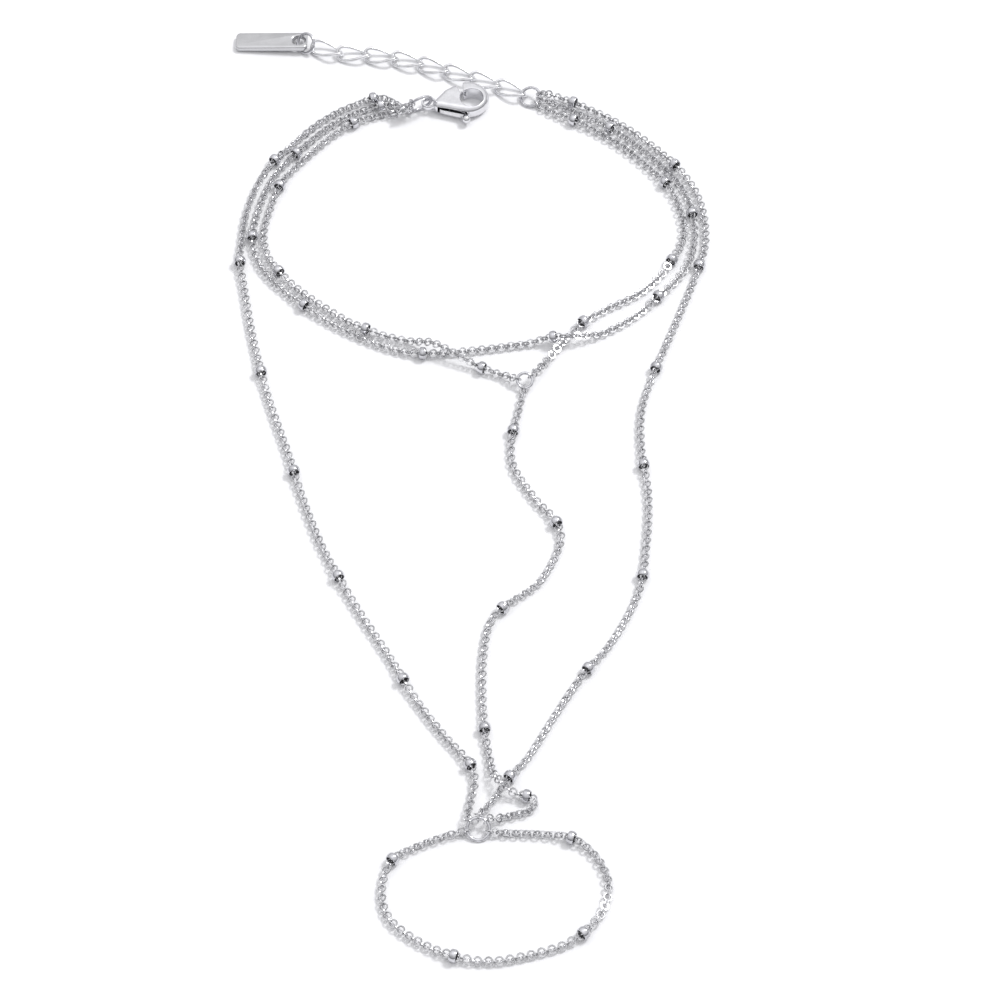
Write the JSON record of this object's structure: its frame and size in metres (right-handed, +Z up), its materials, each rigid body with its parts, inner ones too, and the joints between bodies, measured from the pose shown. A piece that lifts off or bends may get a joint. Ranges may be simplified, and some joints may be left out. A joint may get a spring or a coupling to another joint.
{
  "type": "hand chain",
  "caption": "Polished steel hand chain: a wrist bracelet of beaded cable strands, strands over the hand to a finger loop, a lobster clasp and an extender with a bare tag.",
  "frame": {"origin": "middle of the outline on the surface that the chain lies on", "axes": "+Y from the finger loop to the clasp, +Z up from the surface, +X to the right seen with the clasp away from the viewer"},
  "size_m": [0.062, 0.1434, 0.0035],
  "materials": {
    "chain_steel": "polished fine cable chain",
    "bead_steel": "mirror polished",
    "ring_steel": "polished wire",
    "extender_steel": "polished wire",
    "tag_steel": "satin polished",
    "clasp_steel": "polished",
    "lever_steel": "polished"
  },
  "bodies": {
    "chain": {"left_hand_strand": "chain_steel", "left_hand_beads": "bead_steel", "right_hand_strand": "chain_steel", "right_hand_beads": "bead_steel", "middle_hand_strand": "chain_steel", "middle_hand_beads": "bead_steel", "long_wrist_strand": "chain_steel", "long_wrist_beads": "bead_steel", "left_wrist_strand": "chain_steel", "left_wrist_beads": "bead_steel", "right_wrist_strand": "chain_steel", "right_wrist_beads": "bead_steel", "finger_strand": "chain_steel", "finger_beads": "bead_steel", "clasp_ring": "ring_steel", "extender_ring": "ring_steel", "wrist_ring": "ring_steel", "finger_ring": "ring_steel", "tag_ring": "ring_steel", "extender_link_1": "extender_steel", "extender_link_2": "extender_steel", "extender_link_3": "extender_steel", "extender_link_4": "extender_steel", "extender_link_5": "extender_steel", "extender_link_6": "extender_steel", "extender_link_7": "extender_steel", "extender_link_8": "extender_steel", "tag": "tag_steel", "clasp_body": "clasp_steel"},
    "lever": {"clasp_lever": "lever_steel"}
  },
  "joints": [
    {"name": "lever_hinge", "type": "hinge", "parent": "chain", "child": "lever", "pos_m": [-0.00225, 0.0589, 0.001], "axis": [0, 0, -1], "range_deg": [0, 20], "stiffness_Nm_per_rad": 0.0005, "springref_deg": -11.46}
  ]
}
